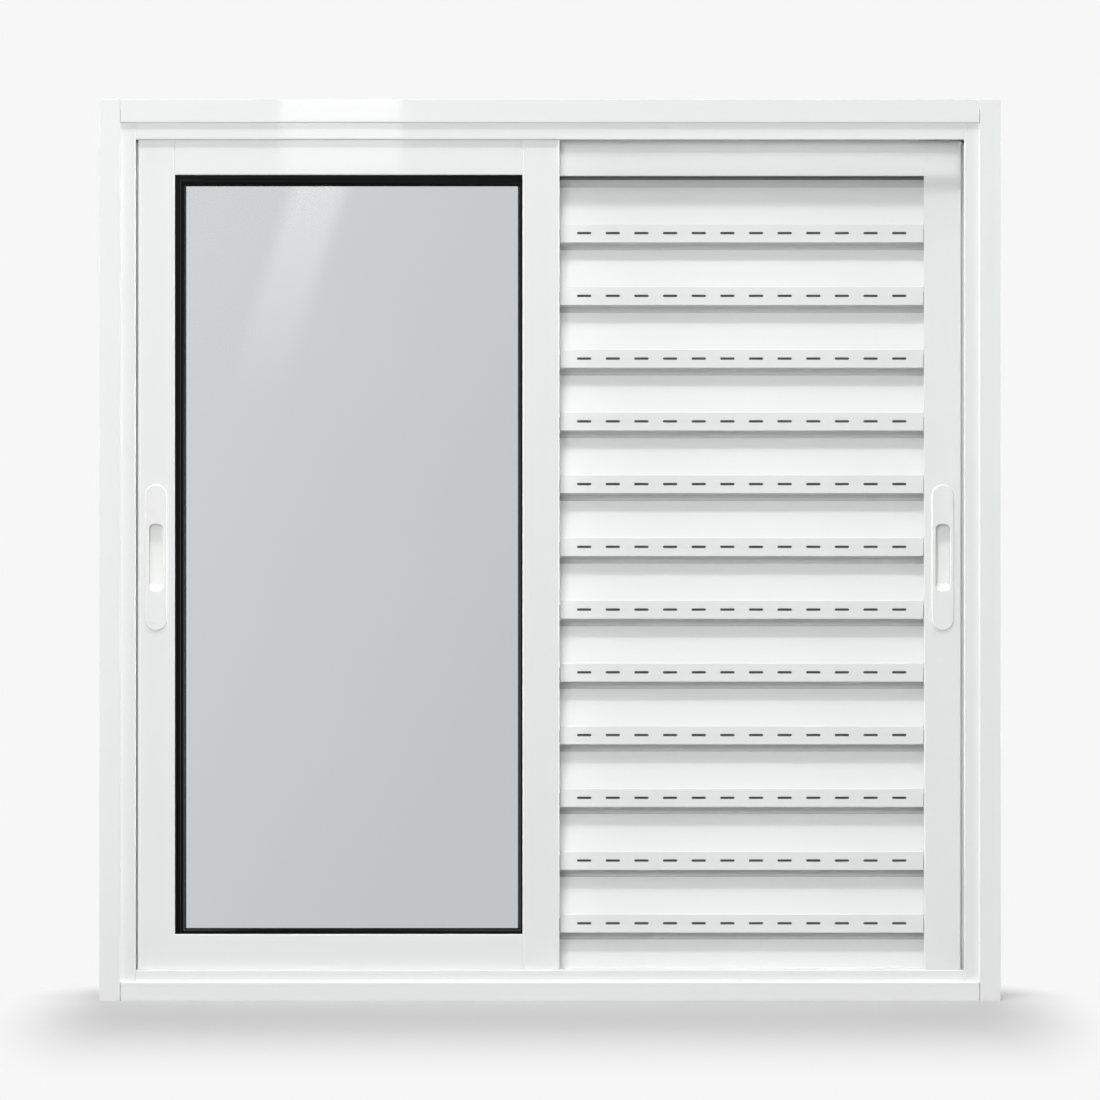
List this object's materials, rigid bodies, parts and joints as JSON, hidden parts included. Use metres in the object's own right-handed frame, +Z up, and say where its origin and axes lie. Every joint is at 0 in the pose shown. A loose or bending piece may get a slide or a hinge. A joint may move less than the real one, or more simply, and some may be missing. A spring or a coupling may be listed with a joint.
{
  "type": "sliding window",
  "caption": "White aluminium sliding window with cover trims, a glazed leaf, a slotted louvre leaf, flush pulls, latches and rollers.",
  "frame": {"origin": "middle of the window's width and depth, at the bottom edge of the cover trims", "axes": "+X to the right seen from the front, +Y from the room face to the rear, +Z up"},
  "size_m": [1, 0.072, 1],
  "materials": {
    "white_coat": "gloss white powder coat on aluminium",
    "slat_coat": "gloss white powder coat on aluminium",
    "white_plastic": "gloss white plastic",
    "glass": "clear to softly grey float glass",
    "gasket": "black glazing rubber",
    "zinc_steel": "zinc plated",
    "grey_nylon": "moulded nylon",
    "wheel_nylon": "moulded nylon",
    "pile": "woven pile weather strip"
  },
  "bodies": {
    "frame": {"head": "white_coat", "sill": "white_coat", "left_jamb": "white_coat", "right_jamb": "white_coat", "top_trim": "white_coat", "bottom_trim": "white_coat", "left_trim": "white_coat", "right_trim": "white_coat", "left_keeper": "zinc_steel", "right_keeper": "zinc_steel", "frame_screws": "zinc_steel", "keeper_screws": "zinc_steel", "closing_stops": "grey_nylon", "opening_stops": "grey_nylon"},
    "glass_leaf": {"glass_lock_stile": "white_coat", "glass_meeting_stile": "white_coat", "glass_top_rail": "white_coat", "glass_bottom_rail": "white_coat", "glass_pane": "glass", "glazing_gasket": "gasket", "glass_pull_plate": "white_plastic", "glass_sash_screws": "zinc_steel", "glass_lock_pile": "pile", "glass_meeting_pile": "pile", "glass_top_guides": "grey_nylon", "glass_lock_roller": "grey_nylon", "glass_meeting_roller": "grey_nylon", "glass_axles": "zinc_steel"},
    "louvre_leaf": {"louvre_lock_stile": "white_coat", "louvre_meeting_stile": "white_coat", "louvre_top_rail": "white_coat", "louvre_bottom_rail": "white_coat", "louvre_pull_plate": "white_plastic", "louvre_sash_screws": "zinc_steel", "louvre_lock_pile": "pile", "louvre_top_guides": "grey_nylon", "louvre_lock_roller": "grey_nylon", "louvre_meeting_roller": "grey_nylon", "louvre_axles": "zinc_steel", "slat_1": "slat_coat", "slat_2": "slat_coat", "slat_3": "slat_coat", "slat_4": "slat_coat", "slat_5": "slat_coat", "slat_6": "slat_coat", "slat_7": "slat_coat", "slat_8": "slat_coat", "slat_9": "slat_coat", "slat_10": "slat_coat", "slat_11": "slat_coat", "slat_12": "slat_coat", "slat_13": "slat_coat"},
    "glass_latch": {"glass_latch_slider": "white_plastic", "glass_latch_hook": "zinc_steel"},
    "louvre_latch": {"louvre_latch_slider": "white_plastic", "louvre_latch_hook": "zinc_steel"},
    "glass_lock_wheel": {"glass_lock_wheel": "wheel_nylon"},
    "glass_meeting_wheel": {"glass_meeting_wheel": "wheel_nylon"},
    "louvre_lock_wheel": {"louvre_lock_wheel": "wheel_nylon"},
    "louvre_meeting_wheel": {"louvre_meeting_wheel": "wheel_nylon"}
  },
  "joints": [
    {"name": "glass_slide", "type": "slide", "parent": "frame", "child": "glass_leaf", "axis": [1, 0, 0], "range_m": [0, 0.4]},
    {"name": "louvre_slide", "type": "slide", "parent": "frame", "child": "louvre_leaf", "axis": [-1, 0, 0], "range_m": [0, 0.4]},
    {"name": "glass_latch_slide", "type": "slide", "parent": "glass_leaf", "child": "glass_latch", "axis": [0, 0, -1], "range_m": [0, 0.008]},
    {"name": "louvre_latch_slide", "type": "slide", "parent": "louvre_leaf", "child": "louvre_latch", "axis": [0, 0, -1], "range_m": [0, 0.008]},
    {"name": "glass_lock_wheel_spin", "type": "hinge", "parent": "glass_leaf", "child": "glass_lock_wheel", "pos_m": [-0.3825, -0.0125, 0.0247], "axis": [0, 1, 0], "continuous": true},
    {"name": "glass_meeting_wheel_spin", "type": "hinge", "parent": "glass_leaf", "child": "glass_meeting_wheel", "pos_m": [-0.0645, -0.0125, 0.0247], "axis": [0, 1, 0], "continuous": true},
    {"name": "louvre_lock_wheel_spin", "type": "hinge", "parent": "louvre_leaf", "child": "louvre_lock_wheel", "pos_m": [0.3825, 0.0175, 0.0247], "axis": [0, 1, 0], "continuous": true},
    {"name": "louvre_meeting_wheel_spin", "type": "hinge", "parent": "louvre_leaf", "child": "louvre_meeting_wheel", "pos_m": [0.0445, 0.0175, 0.0247], "axis": [0, 1, 0], "continuous": true}
  ],
  "couplings": [
    {"joint": "glass_lock_wheel_spin", "follows": "glass_slide", "rad_per_m": 166.67},
    {"joint": "glass_meeting_wheel_spin", "follows": "glass_slide", "rad_per_m": 166.67},
    {"joint": "louvre_lock_wheel_spin", "follows": "louvre_slide", "rad_per_m": -166.67},
    {"joint": "louvre_meeting_wheel_spin", "follows": "louvre_slide", "rad_per_m": -166.67}
  ]
}
